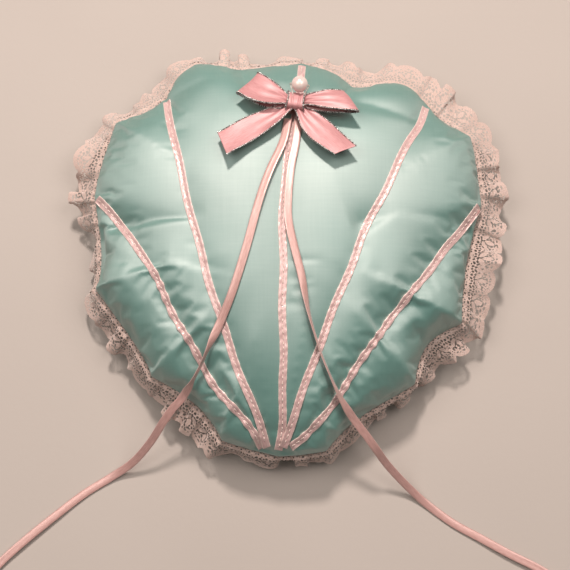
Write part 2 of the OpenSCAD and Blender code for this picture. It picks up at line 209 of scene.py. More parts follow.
def share_out(points):
    """How far each point lies from the middle, as a share of the way to the outline."""
    a, b = outline, np.roll(outline, -1, axis=0)
    whole = a[:, 0] * b[:, 1] - a[:, 1] * b[:, 0]
    x, y = points[:, :1], points[:, 1:2]
    from_a = (x * b[:, 1] - y * b[:, 0]) / whole
    from_b = (a[:, 0] * y - a[:, 1] * x) / whole
    inside = (from_a > -1e-6) & (from_b > -1e-6)
    return np.where(inside, from_a + from_b, 0).max(axis=1)


def front_height(points):
    """Height of the plump front, before the ribs draw it in."""
    return seam_height + 1.4 + front_swell * (1 - np.minimum(share_out(points), 1) ** 2.4) ** 0.65


def back_height(points):
    """Height of the back, which the weight presses flat in the middle."""
    return np.maximum(0.3, seam_height - 1.4 - 22.5 * (1 - np.minimum(share_out(points), 1) ** 2.4) ** 0.65)


def length_along(line):
    """How far along a line each of its points is."""
    return np.concatenate([[0], np.cumsum(np.linalg.norm(np.diff(line, axis=0), axis=1))])


def smooth_route(route, spacing):
    """Points every so many millimetres along one smooth curve through the route."""
    route = np.array(route, float)
    ends = np.vstack([2 * route[:1] - route[1:2], route, 2 * route[-1:] - route[-2:-1]])
    made = []
    for a, b, c, d in zip(ends, ends[1:], ends[2:], ends[3:]):
        for t in np.arange(16) / 16:
            made.append(0.5 * (2 * b + (c - a) * t + (2 * a - 5 * b + 4 * c - d) * t ** 2
                               + (3 * b - a - 3 * c + d) * t ** 3))
    made = np.array(made + [route[-1]])
    along = length_along(made)
    at = np.linspace(0, along[-1], max(3, round(along[-1] / spacing) + 1))
    return np.stack([np.interp(at, along, made[:, k]) for k in range(made.shape[1])], axis=1)


# The sewn-on rib ribbons hold the cloth down along these lines
rib_routes = {
    "outer_left": [(-76.5, 22), (-68, 12), (-60, 2), (-51, -13), (-42, -30), (-32, -48), (-23, -60),
                   (-14, -71), (-10, -77)],
    "inner_left": [(-49.5, 62.5), (-48, 56), (-46, 48), (-43, 35), (-40, 22), (-33, -5), (-26, -28),
                   (-19, -48), (-11, -68), (-8, -77)],
    "centre": [(6, 78), (5, 66), (3, 54), (-1, 28), (-2, 10), (-2, -12), (-2, -34), (-2, -50), (-2, -66),
               (-4, -78)],
    "inner_right": [(56, 60), (52, 50), (47, 41), (38, 22), (30, 6), (22, -14), (12, -39), (4, -61),
                    (-2, -77)],
    "outer_right": [(76.5, 19), (68, 7), (60, -2), (46, -21), (37, -31), (26, -48), (13, -66), (7, -73),
                    (1, -77)]}
rib_lines = {name: smooth_route(route, 1.6) for name, route in rib_routes.items()}


def distance_to(points, line):
    """How far each point is from the nearest point of a line, seen from above."""
    return np.linalg.norm(points[:, None, :2] - line[None, :, :2], axis=2).min(axis=1)


# Flat cut of a panel: rows of points just inside the seam, points along the ribs, and a 1.7 mm weave between
grid = 1.7
weave_ends, seam_starts = 0.94, 0.9985
near_seam = [outline * share for share in (1, 0.994, 0.984, 0.97, 0.953)]
on_ribs = [line[share_out(line) < weave_ends] for line in rib_lines.values()]
columns, rows = np.meshgrid(np.arange(-50, 51), np.arange(-58, 59))
weave = np.stack([(columns + 0.5 * (rows % 2)) * grid, rows * grid * 0.866], axis=-1).reshape(-1, 2)
weave = weave[share_out(weave) < weave_ends]
weave = weave[np.hypot(*weave.T) > 0.01]
weave = weave[np.min([distance_to(weave, line) for line in rib_lines.values()], axis=0) > 1.1]
cut_points = [Vector(p) for p in np.vstack(near_seam + on_ribs + [weave])]
cut = geometry.delaunay_2d_cdt(cut_points, [], [list(range(len(outline)))], 1, 1e-4)
flat = np.array([tuple(p) for p in cut[0]])
triangles = np.array([f[:3] for f in cut[2]])
first, second, third = (flat[triangles[:, corner]] for corner in range(3))
twice_area = np.cross(second - first, third - first)
triangles[twice_area < 0] = triangles[twice_area < 0][:, ::-1]
used = np.unique(triangles)
renumber = np.full(len(flat), -1)
renumber[used] = np.arange(len(used))
flat, triangles = flat[used], renumber[triangles]
out = share_out(flat)
on_seam = out > seam_starts

# Formed panels: the front dips along each rib and swells between them, and lies lower under the bow
from_rib = np.min([distance_to(flat, line) for line in rib_lines.values()], axis=0)
dip = 1.3 * np.exp(-(from_rib / 5.0) ** 2) * (1 - out ** 6)
puff = 0.9 * (1 - np.exp(-(from_rib / 11.0) ** 2)) * (1 - out ** 4)
front = front_height(flat) - dip + puff


def fold(points, start, end, depth, below, above):
    """How deep a crease is at each point. It is deepest near its start, and narrows towards its end."""
    start, end = np.array(start, float), np.array(end, float)
    run = (end - start) / np.hypot(*(end - start))
    along = (points - start) @ run / np.hypot(*(end - start))
    across = (points - start) @ np.array([-run[1], run[0]])
    share = np.clip(along, 0, 1)
    narrowing = 1 - 0.65 * share
    taper = np.clip(share * 5, 0, 1) * (1 - share) ** 0.5 * narrowing
    reach = np.where(across > 0, above, below) * narrowing
    return depth * taper * np.exp(-(np.abs(across) / reach) ** 1.25)


# Folds that packing and handling left in the cloth: start, end, depth, reach below and above, in mm
handling_folds = [((-76, 8), (-32, 11), 5.2, 1.8, 13.0), ((-84, -4), (-58, -6), 3.2, 2.0, 9.0),
                  ((-54, 60), (-26, 72), 2.4, 4.0, 8.0), ((22, 60), (60, 50), 2.6, 2.5, 8.0),
                  ((84, 8), (40, 13), 2.6, 8.0, 3.0), ((24, 6), (42, 12), 2.6, 3.0, 9.0),
                  ((-12, -71), (24, -72), 1.2, 1.2, 3.0), ((74, -14), (44, -8), 1.6, 7.0, 3.0),
                  ((0, -8), (14, -7), 0.8, 0.9, 2.0), ((-1, -14), (10, -15), 0.8, 0.9, 2.0),
                  ((1, -19), (12, -18), 0.8, 0.9, 2.0), ((-1, -24), (9, -25), 0.8, 0.9, 2.0),
                  ((-46, -6), (-20, -12), 1.0, 1.5, 5.0), ((30, -10), (50, -18), 1.0, 2.0, 6.0)]
back = back_height(flat)
bow_middle = np.array([3.0, 54.0])
bow_reach = 15.0


def under_bow(points):
    """One under the bow, falling to nothing beyond its reach."""
    return np.exp(-(np.hypot(*(points - bow_middle).T) / bow_reach) ** 4)


front = np.minimum(front, front_height(flat) + 1.7 - 2.2 * under_bow(flat))
front[on_seam] = back[on_seam] = seam_height

inner = np.where(~on_seam)[0]
to_back = np.arange(len(flat))
to_back[inner] = len(flat) + np.arange(len(inner))
shell = np.vstack([np.column_stack([flat, front]), np.column_stack([flat[inner], back[inner]])])
shell_faces = np.vstack([triangles, to_back[triangles][:, ::-1]])
is_front = np.arange(len(shell)) < len(flat)
formed = shell.copy()

# The cover is sewn from a little more cloth than its shape needs, most of it along the seam and the outer
# ribs, and the stuffing's pressure throws that cloth into puckers. It is worked ten times life size.
bench = mesh_object("cover_being_stuffed", formed / 100, shell_faces, board_paint)
pins, shrinks = bench.vertex_groups.new(name="pins"), bench.vertex_groups.new(name="less_cloth")
out_all, flat_all = share_out(formed[:, :2]), formed[:, :2]
drawn = np.min([distance_to(flat_all, rib_lines[n]) for n in ("outer_left", "outer_right")], axis=0)
held = np.min([distance_to(flat_all, line) for line in rib_lines.values()], axis=0)
spare = np.clip((out_all - 0.72) / 0.25, 0, 1) ** 1.5
lower_down = np.clip((25 - flat_all[:, 1]) / 45, 0, 1)
spare = np.maximum(spare, is_front * np.exp(-(drawn / 7) ** 2) * lower_down)
for i in range(len(formed)):
    if out_all[i] > seam_starts:
        pins.add([i], 1.0, "REPLACE")
    elif is_front[i] and held[i] < 1.3 and out_all[i] < 0.97:
        pins.add([i], 0.55, "REPLACE")
    elif not is_front[i] and formed[i, 2] < 0.6:
        pins.add([i], 0.8, "REPLACE")
    shrinks.add([i], float(1 - spare[i]), "REPLACE")
cloth = bench.modifiers.new("Cloth", "CLOTH")
set_up = cloth.settings
set_up.quality = 6
set_up.mass = 0.2
set_up.tension_stiffness = set_up.compression_stiffness = 18
set_up.shear_stiffness = 4
set_up.bending_stiffness = 0.01
set_up.shrink_max = -0.006
set_up.shrink_min = -0.062
set_up.vertex_group_shrink = "less_cloth"
set_up.vertex_group_mass = "pins"
set_up.pin_stiffness = 1
set_up.use_pressure = True
set_up.uniform_pressure_force = 4
set_up.effector_weights.gravity = 0
for moment in range(1, 21):
    scene.frame_set(moment)
settled = bench.evaluated_get(bpy.context.evaluated_depsgraph_get()).to_mesh()
stuffed = np.empty(len(settled.vertices) * 3, np.float32)
settled.vertices.foreach_get("co", stuffed)
stuffed = stuffed.reshape(-1, 3).astype(float) * 100
bench.to_mesh_clear()
scene.frame_set(1)
bpy.data.objects.remove(bench)
moved = stuffed - formed
# The front as a whole keeps its height, and no point of the cover moves more than about 2 mm
moved -= np.median(moved[is_front], axis=0) * is_front[:, None] * np.array([0, 0, 1])
length = np.linalg.norm(moved, axis=1)
most = 2.2
shell = formed + moved * (most * np.tanh(length / most) / np.maximum(length, 1e-9))[:, None]

for crease in handling_folds:
    shell[:, 2] -= is_front * (1 - share_out(shell[:, :2]) ** 12) * fold(shell[:, :2], *crease)
limit = front_height(shell[:, :2]) + 1.8 - 2.3 * under_bow(shell[:, :2])
shell[is_front, 2] = np.minimum(shell[is_front, 2], limit[is_front])
shell[is_front, 2] = np.maximum(shell[is_front, 2], seam_height)
shell[~is_front, 2] = np.clip(shell[~is_front, 2], 0.05, seam_height)


def subdivided(made):
    """Rounds a mesh once and keeps the result as the mesh."""
    rounder = made.modifiers.new("rounder", "SUBSURF")
    rounder.levels = rounder.render_levels = 1
    final = bpy.data.meshes.new_from_object(made.evaluated_get(bpy.context.evaluated_depsgraph_get()))
    made.modifiers.clear()
    made.data = final
    return made


# Polyester satin: long floats on the face run up the pillow and throw light out sideways, so the gloss is
# stretched across it. Its real floats are 0.1 mm apart; these streaks are drawn at 0.6 mm so that they show.
satin, tree, shader = new_material("mint_polyester_satin", IOR=2.10, Specular_IOR_Level=1.0, Anisotropic=0.62,
                                   Coat_Weight=0.6, Coat_IOR=1.8, Coat_Roughness=0.52)
place = add(tree, "TexCoord").outputs["Object"]
lengthwise = add(tree, "Mapping", {"Vector": place, "Scale": (1700.0, 55.0, 300.0)}).outputs["Vector"]
crosswise = add(tree, "Mapping", {"Vector": place, "Scale": (60.0, 1500.0, 300.0)}).outputs["Vector"]
floats, picks = noise(tree, lengthwise, 1.0, 3.0), noise(tree, crosswise, 1.0)
weave_height = add(tree, "Math", {0: floats, 1: picks}, operation="ADD").outputs["Value"]
dyed = mixed(tree, ranged(tree, noise(tree, place, 28.0), 0.35, 0.65), "#4b7f77", "#538880")
streaked = mixed(tree, ranged(tree, weave_height, 0.7, 1.3, 0.0, 0.08), dyed, "#94b9b0")
finish_surface(tree, shader, streaked, weave_height, 0.05, 0.00005)
tree.links.new(ranged(tree, weave_height, 0.7, 1.3, 0.64, 0.62), shader.inputs["Roughness"])
across_cloth = add(tree, "CombineXYZ", {"X": 1.0, "Y": 0.08})
tree.links.new(across_cloth.outputs["Vector"], shader.inputs["Tangent"])

half_seam = 0.35
front_points = shell[:len(flat)].copy()
front_points[on_seam, 2] += half_seam
satin_front = mesh_object("satin_front_panel", front_points / 1000, triangles, satin)
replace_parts(subdivided(satin_front), "front_panel")
back_points = shell[to_back].copy()
back_points[on_seam, 2] -= half_seam
satin_back = mesh_object("satin_back_panel", back_points / 1000, triangles[:, ::-1], satin)
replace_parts(subdivided(satin_back), "back_panel")
for panel in (satin_front, satin_back):
    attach(panel, "pillow")

# ---------------------------------------------------------------------------------------------
# Filling: loose polyester fibre pushed in by hand through the gap in the seam. White and matt, with
# crimped hairs; it fills the cover to within a couple of millimetres.

fibre, tree, shader = new_material("crimped_polyester_fibre", Roughness=0.95, Sheen_Weight=0.5)
hairs = noise(tree, add(tree, "TexCoord").outputs["Object"], 900.0, 5.0, 4.0)
finish_surface(tree, shader, mixed(tree, hairs, "#dcdad4", "#faf9f6"), hairs, 0.8, 0.0008)
below_cover = 2.2
middle = np.array([0, 0, 16.0])
inward = shell - middle
stuffing = middle + inward * (1 - below_cover / np.maximum(np.linalg.norm(inward, axis=1), 12))[:, None]
thinning = 1 - share_out(shell[:, :2]) ** 8
stuffing[:, 2] = np.where(is_front, np.minimum(stuffing[:, 2], shell[:, 2] - 1.5 * thinning),
                          np.maximum(stuffing[:, 2], shell[:, 2] + 0.6 * thinning))
filling = mesh_object("fibre_filling_wad", stuffing / 1000, shell_faces, fibre)
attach(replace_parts(filling, "fibre_filling"), "pillow")

# ---------------------------------------------------------------------------------------------
# Lace ruffle: machine-made raschel lace in off-white nylon, one long strip drawn up on a thread and sewn into
# the seam. A net ground carries three-lobed leaves and small rings, and the free edge is scalloped with a
# firm border. It stands out in soft folds, and is tucked down behind the pillow in places.

lace_length, lace_wide = 720.0, 15.6
tucked_in = 1.6
scallops, scallop_deep = 60, 2.6
scallop = lace_length / scallops
lace_cell = 0.36
across_count = int(round(lace_wide / lace_cell)) + 1
along_count = int(round(lace_length / lace_cell)) + 1
u_flat, v_flat = np.meshgrid(np.linspace(0, lace_length, along_count),
                             np.linspace(0, lace_wide, across_count), indexing="ij")


def leaf(x, y, at_x, at_y, lean, long, wide):
    """Above zero inside a pointed leaf, in millimetres."""
    turn = math.radians(lean)
    x, y = x - at_x, y - at_y
    along, across = x * math.sin(turn) + y * math.cos(turn), x * math.cos(turn) - y * math.sin(turn)
    return wide * (1 - (along / long) ** 2 - np.abs(across / wide) ** 1.4)


# The pattern as cloth above zero and holes below it, over one scallop from -half to half
x_rep = (u_flat + scallop / 2) % scallop - scallop / 2
picots = 0.12 * (1 + np.cos(u_flat * 2 * np.pi * 9 / scallop))
free_edge = lace_wide - scallop_deep * np.abs(2 * x_rep / scallop) ** 2.2 - picots
wander_u = u_flat + 0.28 * np.sin(v_flat * 1.7 + u_flat * 0.9)
wander_v = v_flat + 0.28 * np.sin(u_flat * 1.3)
pitch = 4 * np.pi / (math.sqrt(3) * 1.7)
net = 0.2 * (-0.15 - np.cos(pitch * wander_v) - np.cos(pitch * (wander_v / 2 + wander_u * 0.866))
             - np.cos(pitch * (wander_v / 2 - wander_u * 0.866)))
border = 0.95 - np.abs(v_flat - free_edge + 0.95)
inner_cord = 0.24 - np.abs(v_flat - free_edge + 3.1)
header = 0.7 - np.abs(v_flat - 0.8)
beading = 0.22 - np.abs(v_flat - 3.1)
cloth_field = np.maximum.reduce([net, border, inner_cord, header, beading])
for lean, at_x, at_y in ((0, 0, 9.3), (50, 2.2, 7.7), (-50, -2.2, 7.7)):
    cloth_field = np.maximum(cloth_field, leaf(x_rep, v_flat, at_x, at_y, lean, 2.5, 0.9))
    cloth_field = np.minimum(cloth_field, np.abs(leaf(x_rep, v_flat, at_x, at_y, lean, 3.0, 1.35)) - 0.2)
side_x = np.minimum(np.abs(x_rep - scallop / 2), np.abs(x_rep + scallop / 2))
ring = 0.36 - np.abs(np.hypot(side_x, v_flat - 8.2) - 1.4)
cloth_field = np.maximum(cloth_field, ring)
cloth_field = np.minimum(cloth_field, free_edge - v_flat)
cloth_field[:, 0] = -0.1

cloth_points, cloth_faces, number_of = [], [], {}
cell_long, cell_wide = u_flat[1, 0] - u_flat[0, 0], v_flat[0, 1] - v_flat[0, 0]


def lace_point(i, j, di, dj):
    """The number of a grid point, or of the place where the cloth's edge crosses the line to the next one."""
    key = (i, j, di, dj)
    if key not in number_of:
        here = cloth_field[i, j]
        step = 0.0 if not (di or dj) else here / (here - cloth_field[i + di, j + dj])
        number_of[key] = len(cloth_points)
        cloth_points.append((u_flat[i, j] + di * step * cell_long, v_flat[i, j] + dj * step * cell_wide))
    return number_of[key]


solid = cloth_field > 0
any_cloth = solid[:-1, :-1] | solid[1:, :-1] | solid[1:, 1:] | solid[:-1, 1:]
for i, j in np.argwhere(any_cloth):
    around = ((i, j), (i + 1, j), (i + 1, j + 1), (i, j + 1))
    face = []
    for (a, b), (c, d) in zip(around, around[1:] + around[:1]):
        if solid[a, b]:
            face.append(lace_point(a, b, 0, 0))
        if solid[a, b] != solid[c, d]:
            low = min((a, b), (c, d))
            face.append(lace_point(*low, abs(c - a), abs(d - b)))
    cloth_faces.append(face)
cloth_uv = np.array(cloth_points)

# How far the ruffle stands out beyond the seam, at each corner of the shell and half way to the next
stand_out = [11.0, 11.5, 10.5, 8.5, 11.5, 8.5, 7.5, 9.0, 10.5, 8.0, 7.5, 8.5, 11.5, 12.5, 13.5, 12.5, 12.0,
             13.2, 12.0, 13.2, 12.0, 11.5, 3.0, 5.5, 5.0, 3.2, 3.2, 4.6, 9.5, 11.0, 6.5, 10.0, 6.0, 5.0]
seam_at = length_along(np.vstack([outline, outline[:1]]))
seam_length = seam_at[-1]
corner_numbers = [int(np.argmin(np.hypot(*(outline - mark[:2]).T))) for mark in shell_marks]
corner_at = np.array([seam_at[n] for n in corner_numbers] + [seam_length])
half_way = (corner_at[1:] + corner_at[:-1]) / 2
stand_at = np.column_stack([corner_at[:-1], half_way]).ravel()
softened = outline.copy()
for _ in range(60):
    softened = (np.roll(softened, 1, axis=0) + 2 * softened + np.roll(softened, -1, axis=0)) / 4


def unit(vectors):
    """Vectors brought to a length of one."""
    return vectors / np.maximum(np.linalg.norm(vectors, axis=-1, keepdims=True), 1e-12)


def square_to(heading):
    """Level directions to the left of each heading."""
    return unit(np.column_stack([-heading[:, 1], heading[:, 0]]))


outward = square_to(np.roll(softened, -2, axis=0) - np.roll(softened, 2, axis=0))
gathers = 33


def along_seam(values, at):
    """Values that go with the outline's points, at places along the seam."""
    values = np.vstack([values, values[:1]]).T
    return np.stack([np.interp(at % seam_length, seam_at, value) for value in values], axis=1)


def ruffled(uv):
    """Where a point of the flat lace lies once the lace is gathered and sewn in, in millimetres."""
    turn = uv[:, 0] / lace_length
    w = np.clip((uv[:, 1] - tucked_in) / (lace_wide - tucked_in), -0.15, 1)
    round_once = 2 * np.pi * turn
    phase = gathers * round_once + 1.5 * np.sin(5 * round_once) + 1.2 * np.sin(11 * round_once + 1) \
        + 0.6 * np.sin(17 * round_once)
    opened = np.clip(w, 0, 1)
    slide = -0.9 * opened ** 0.7 * np.sin(2 * phase) + 1.2 * opened * np.sin(13 * round_once + 2)
    at = turn * seam_length + slide
    stand = np.interp(at % seam_length, np.append(stand_at, seam_length), stand_out + stand_out[:1])
    stand = stand + 0.8 * np.sin(9 * round_once) + 0.6 * np.sin(23 * round_once + 2)
    lean_down = np.arccos(np.clip(stand / 13.8, 0.08, 0.99)) * np.clip(opened * 2.2, 0, 1) ** 0.8
    wave = (0.3 + 1.9 * opened * (1 + 0.4 * np.sin(7 * round_once + 1))) * np.sin(phase) \
        + 0.35 * (1 - opened) * np.sin(3 * phase) + 0.35 * opened ** 2 * np.sin(2.7 * phase + 1)
    wave = wave * np.clip(w * 8 + 0.4, 0, 1)
    base, free = along_seam(outline, at), along_seam(softened, at)
    blend = np.clip(opened * 1.5, 0, 1)[:, None]
    foot = base * (1 - blend) + (free * 0.35 + base * 0.65) * blend
    away = along_seam(outward, at)
    run = w * (lace_wide - tucked_in)
    flat_out = run * np.cos(lean_down) + wave * np.sin(lean_down) * 0.7
    placed = np.column_stack([foot + away * flat_out[:, None],
                              seam_height - run * np.sin(lean_down) + wave * np.cos(lean_down)])
    placed[:, 2] = np.maximum(placed[:, 2], 0.6)
    return placed


ruffle_points = ruffled(cloth_uv)

# The ribbons that hold the rings press the ruffle down where they cross it: x, y and z of that crossing
ribbon_crossings = [(-45, -62, 21), (-49, -67, 18), (-52, -71, 14.5), (-54.5, -74.5, 11), (-62, -82, 4),
                    (30, -72, 21), (34, -77, 18), (37, -80.5, 12.5), (39, -83, 8), (46, -90, 2)]
for line in (smooth_route(ribbon_crossings[:5], 0.8), smooth_route(ribbon_crossings[5:], 0.8)):
    gap = np.linalg.norm(ruffle_points[:, None, :2] - line[None, :, :2], axis=2)
    over = line[gap.argmin(axis=1), 2] - 1.3 + np.maximum(gap.min(axis=1) - 2.6, 0) * 1.2
    ruffle_points[:, 2] = np.maximum(np.minimum(ruffle_points[:, 2], over), 0.4)

# Nylon yarn: 0.15 mm filaments knotted tight, soft and only slightly glossy, with light showing through
lace_yarn, tree, shader = new_material("ivory_nylon_lace", Roughness=0.62, Specular_IOR_Level=0.4,
                                       Sheen_Weight=0.35, Subsurface_Weight=0.15)
shader.inputs["Subsurface Radius"].default_value = (0.001, 0.0008, 0.0006)
laid = add(tree, "UVMap", uv_map="cloth_mm").outputs["UV"]
yarn_lines = add(tree, "TexWave", {"Vector": laid, "Scale": 1.1, "Distortion": 5.0, "Detail": 2.0,
                                   "Detail Scale": 1.5}, bands_direction="DIAGONAL").outputs["Fac"]
fuzz = noise(tree, laid, 3.0, 4.0)
yarn_height = add(tree, "Math", {0: yarn_lines, 1: fuzz}, operation="ADD").outputs["Value"]
yarn_tone = mixed(tree, ranged(tree, yarn_height, 0.4, 1.5), "#b89e95", "#dcc6bd")
finish_surface(tree, shader, yarn_tone, yarn_height, 0.6, 0.00012)
ruffle = mesh_object("lace_ruffle_gathered", ruffle_points / 1000, cloth_faces, lace_yarn, uv=cloth_uv)
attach(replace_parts(ruffle, "lace_ruffle"), "pillow")

# ---------------------------------------------------------------------------------------------
# Sewing thread: spun polyester, two plies twisted together. It gathers the lace, closes the seam, holds the
# ribbons down and makes the shank under the bow.


def new_thread(name, dark, light):
    """Spun thread of one colour. Its plies' twist is drawn at 0.8 mm, about twice the real one."""
    made, tree, shader = new_material(name, Roughness=0.6, Sheen_Weight=0.3, Specular_IOR_Level=0.45)
    place = add(tree, "TexCoord").outputs["Object"]
    twist = add(tree, "TexWave", {"Vector": place, "Scale": 390.0, "Distortion": 2.0},
                bands_direction="DIAGONAL").outputs["Fac"]
    finish_surface(tree, shader, mixed(tree, twist, dark, light), twist, 0.6, 0.0001)
    return made


white_thread = new_thread("white_spun_polyester_thread", "#c4b0a8", "#e8dad2")
mint_thread = new_thread("mint_spun_polyester_thread", "#74b7a4", "#a9dccb")
for node_name, thread in (("lace_gathering_thread", white_thread), ("seam_stitching", mint_thread),
                          ("bow_tack_thread", white_thread)):
    slots = frame["nodes"][node_name].material_slots
    if slots:
        for held_slot in slots:
            held_slot.material = thread
    else:
        frame["nodes"][node_name].data.materials.append(thread)


def grid_faces(rows, columns, closed=False):
    """Faces between neighbouring rows of points. In a closed grid each row is a ring."""
    faces = []
    for row in range(0, (rows - 1) * columns, columns):
        for here in range(columns if closed else columns - 1):
            after = (here + 1) % columns
            faces.append((row + here, row + after, row + columns + after, row + columns + here))
    return faces


def end_faces(rows, columns):
    """The two faces that close a strand made of rings."""
    return [tuple(range(columns))[::-1], tuple((rows - 1) * columns + n for n in range(columns))]


def side_by_side(strands):
    """The points of strands that lie side by side, as one list that goes from row to row."""
    return np.stack(strands, axis=1).reshape(-1, len(strands[0][0]))


def tube(route, radius, sides=6):
    """Points and faces of a round strand along a route, closed at both ends."""
    heading = unit(np.gradient(np.asarray(route, float), axis=0))
    side = unit(np.cross(heading, np.eye(3)[np.abs(heading).mean(axis=0).argmin()]))
    up = np.cross(side, heading)
    rings = [route + radius * (side * math.cos(turn) + up * math.sin(turn))
             for turn in 2 * np.pi * np.arange(sides) / sides]
    return side_by_side(rings), grid_faces(len(route), sides, closed=True) + end_faces(len(route), sides)


def joined(parts):
    """Several sets of points and faces as one."""
    points, faces = [], []
    for part_points, part_faces in parts:
        base = sum(len(p) for p in points)
        points.append(part_points)
        faces += [[base + n for n in face] for face in part_faces]
    return np.vstack(points), faces


# Ladder stitches that closed the gap after stuffing, over about 43 mm of the seam
stitch_pitch, stitch_r = 2.6, 0.17
closing = []
for at in np.arange(corner_at[11] + 9, corner_at[12] + 8, stitch_pitch):
    here, away = along_seam(outline, np.array([at]))[0], along_seam(outward, np.array([at]))[0]
    step = along_seam(outline, np.array([at + 0.5]))[0] - here
    over = [(*(here - away * 0.9), 16.1), (*(here + step * 0.4 - away * 0.2), 16.6),
            (*(here + step + away * 0.1), 17.4), (*(here + step * 1.4 - away * 0.4), 18.0)]
    closing.append(tube(smooth_route(over, 0.35), stitch_r))
closing_points, closing_faces = joined(closing)
ladder = mesh_object("closing_ladder_stitches", closing_points / 1000, closing_faces, mint_thread)
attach(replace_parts(ladder, "closing_stitches"), "pillow")

# ---------------------------------------------------------------------------------------------
# Rib ribbons: five lengths of 3.2 mm pale pink satin ribbon laid from the scalloped edge to the hinge point
# and machine-sewn down the middle. The two outer ones were drawn up in the sewing and are lumpy.

cover_tree = BVHTree.FromObject(satin_front, bpy.context.evaluated_depsgraph_get())


def cover_height(points):
    """Height of the front of the cover under each point, or of the seam beyond its edge, in millimetres."""
    found = []
    for x, y in np.asarray(points, float)[:, :2]:
        hit = cover_tree.ray_cast(Vector((x / 1000, y / 1000, 0.2)), Vector((0, 0, -1)))[0]
        found.append(hit.z * 1000 if hit else seam_height)
    return np.array(found)


def new_ribbon(name, low, high, edge_highlight_from, rough, metal):
    """Woven satin ribbon: floats along it, fine cross picks, and a painted highlight that makes its woven edges
    pale from so far out.
    Threads of 0.1 mm are drawn at 0.3 mm."""
    made, tree, shader = new_material(name, Roughness=rough, IOR=1.55, Specular_IOR_Level=0.8, Metallic=metal,
                                      Sheen_Weight=0.2)
    laid = add(tree, "UVMap", uv_map="cloth_mm").outputs["UV"]
    lengthwise = add(tree, "Mapping", {"Vector": laid, "Scale": (0.35, 3.4, 1.0)}).outputs["Vector"]
    floats = noise(tree, lengthwise, 1.0, 3.0)
    picks = add(tree, "TexWave", {"Vector": laid, "Scale": 0.75, "Distortion": 0.6}).outputs["Fac"]
    relief = add(tree, "Math", {0: floats, 1: picks, 2: 0.5}, operation="MULTIPLY_ADD").outputs["Value"]
    across = add(tree, "SeparateXYZ", {"Vector": laid}).outputs["Y"]
    from_middle = add(tree, "Math", {0: across}, operation="ABSOLUTE").outputs["Value"]
    tone = mixed(tree, ranged(tree, floats, 0.35, 0.68), low, high)
    # Painted highlight: towards its edges the ribbon is mixed into pale pink, standing in for the light its
    # raised woven edges catch
    edge_highlighted = mixed(tree, ranged(tree, from_middle, edge_highlight_from - 0.35, edge_highlight_from), tone, "#e6cdc6")
    finish_surface(tree, shader, edge_highlighted, relief, 0.3, 0.00006)
    return made


rib_wide = 3.2
rib_stitch_pitch, rib_stitch, rib_stitch_r = 2.1, 1.5, 0.19
# Its painted edge highlight grows from 1.15 mm out and is full over the last 0.1 mm of each edge
rib_satin = new_ribbon("pale_pink_sewn_satin_ribbon", "#c5a1a0", "#dcbcba", rib_wide / 2 - 0.1, 0.33, 0.1)
# Section of the sewn ribbon: share of its half width, and height; the stitches draw its middle down
rib_section = [(-1.0, -0.35), (-0.97, 0.22), (-0.82, 0.36), (-0.5, 0.28), (-0.16, 0.24), (0, 0.10),
               (0.16, 0.24), (0.5, 0.28), (0.82, 0.36), (0.97, 0.22), (1.0, -0.35)]
wide = len(rib_section)
for number, (name, route) in enumerate(rib_routes.items()):
    line = smooth_route(route, 0.45)
    line = line[share_out(line) < 0.994]
    along = length_along(line)
    side = square_to(np.gradient(line, axis=0))
    share = along / along[-1]
    drawn_up = np.clip((share - 0.22) / 0.15, 0, 1) * np.clip((1.0 - share) / 0.08, 0, 1)
    drawn_up = drawn_up * (1.0 if "outer" in name else 0.22)
    beat = along / 6.9 + 0.35 * np.sin(along / 9.0 + number) + 0.2 * np.sin(along / 3.7)
    pinch = 0.5 - 0.5 * np.cos(2 * np.pi * beat)
    half_wide = rib_wide / 2 * (1 - 0.24 * drawn_up * (1 - pinch))
    lump = drawn_up * (0.75 * pinch ** 1.5 - 0.1)
    crossing = 0.55 * (number in (1, 3)) * np.clip((-line[:, 1] - 52) / 10, 0, 1)
    sway = 0.25 * np.sin(along / 5.3 + number * 2) * (1 + drawn_up)
    line = line + side * sway[:, None]
    points, uv = [], []
    for place_across, lift in rib_section:
        at = line + side * (half_wide * place_across)[:, None]
        edge_flutter = 0.12 * abs(place_across) * np.sin(along * 2.1 + 2 * place_across + number)
        height = cover_height(at) + crossing
        if abs(place_across) > 0.9:
            height = np.maximum(height, cover_height(line) - 0.8 + crossing)
        if lift > 0:
            height += lift * (1 + drawn_up * 0.4) + edge_flutter + lump * (1 - place_across ** 2 / 2)
        else:
            height += lift
        points.append(np.column_stack([at, height]))
        uv.append(np.column_stack([along, np.full(len(along), place_across * rib_wide / 2)]))
    faces = [face[::-1] for face in grid_faces(len(line), wide)]
    ribbon = mesh_object("rib_ribbon_satin_" + name, side_by_side(points) / 1000, faces, rib_satin,
                         uv=side_by_side(uv))
    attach(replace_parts(ribbon, "rib_ribbon_" + name), "pillow")
    # Machine stitches down the middle, one every 2.1 mm, each sunk at both ends
    stitches = []
    for first in np.arange(1.0, along[-1] - 2.0, rib_stitch_pitch):
        at = np.linspace(first, first + rib_stitch, 6)
        stitch = np.stack([np.interp(at, along, value) for value in points[wide // 2].T], axis=1)
        stitch[:, 2] += np.array([-0.12, 0.12, 0.2, 0.2, 0.12, -0.12])
        stitches.append(tube(stitch, rib_stitch_r))
    stitch_points, stitch_faces = joined(stitches)
    row = mesh_object("rib_stitches_" + name, stitch_points / 1000, stitch_faces, white_thread)
    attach(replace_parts(row, "rib_stitching_" + name), "pillow")

# ---------------------------------------------------------------------------------------------
# Ring ribbon: one 0.5 m length of the same 3.2 mm satin ribbon, tied down at its middle under the bow. Its
# two free tails hold the rings; they lie loose down the front, twist on edge once and run off over the lace.

ring_wide, ring_thick = 3.2, 0.26
